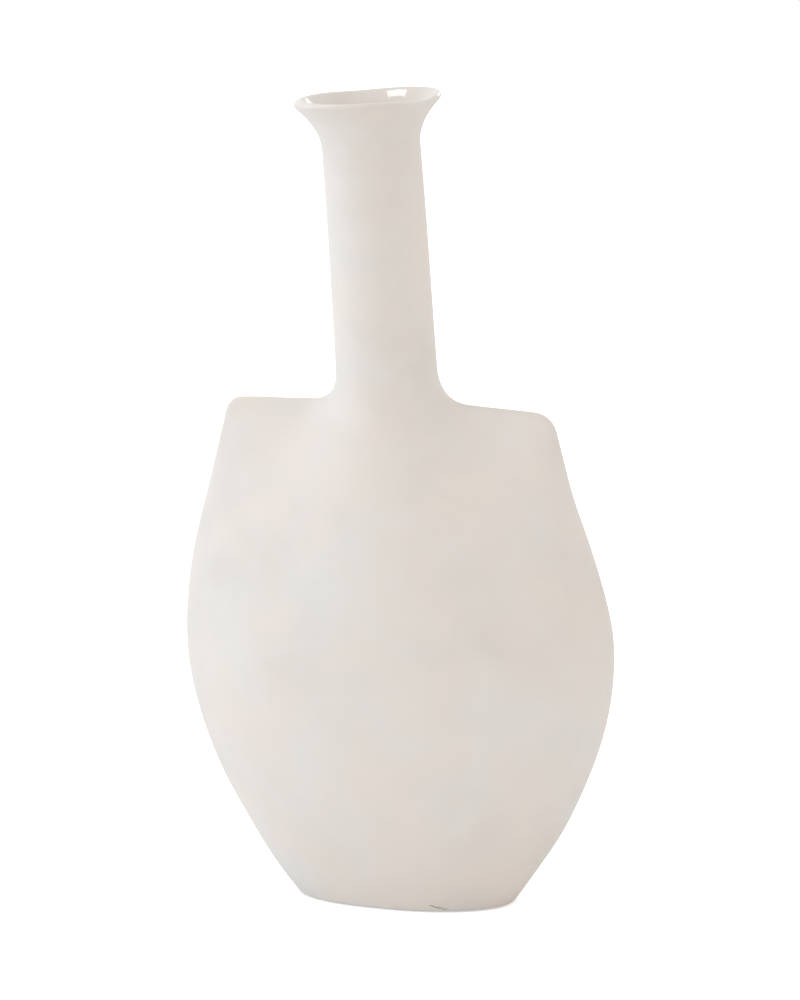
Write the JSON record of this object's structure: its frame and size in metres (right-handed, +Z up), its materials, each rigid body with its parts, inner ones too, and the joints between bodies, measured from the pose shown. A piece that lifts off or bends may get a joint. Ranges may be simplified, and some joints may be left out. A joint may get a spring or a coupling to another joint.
{
  "type": "long-neck vase",
  "caption": "Flat shield-shaped ceramic vase with level shoulders, an oval foot and a long leaning round neck with a flared lip.",
  "frame": {"origin": "middle of the foot, on the surface that the vase stands on", "axes": "+Z up, +X to the right across the wide body, -Y out of the front; the body and neck lean towards -X"},
  "size_m": [0.2243, 0.1114, 0.4046],
  "materials": {
    "satin_glaze": "satin warm off-white glaze",
    "gloss_glaze": "the same glaze, pooled to a gloss inside the mouth",
    "bare_clay": "matte unglazed foot"
  },
  "bodies": {
    "root": {"base_slab": "bare_clay", "front_wall": "satin_glaze", "back_wall": "satin_glaze", "neck_tube": "satin_glaze", "lip_collar": "gloss_glaze"}
  },
  "joints": []
}
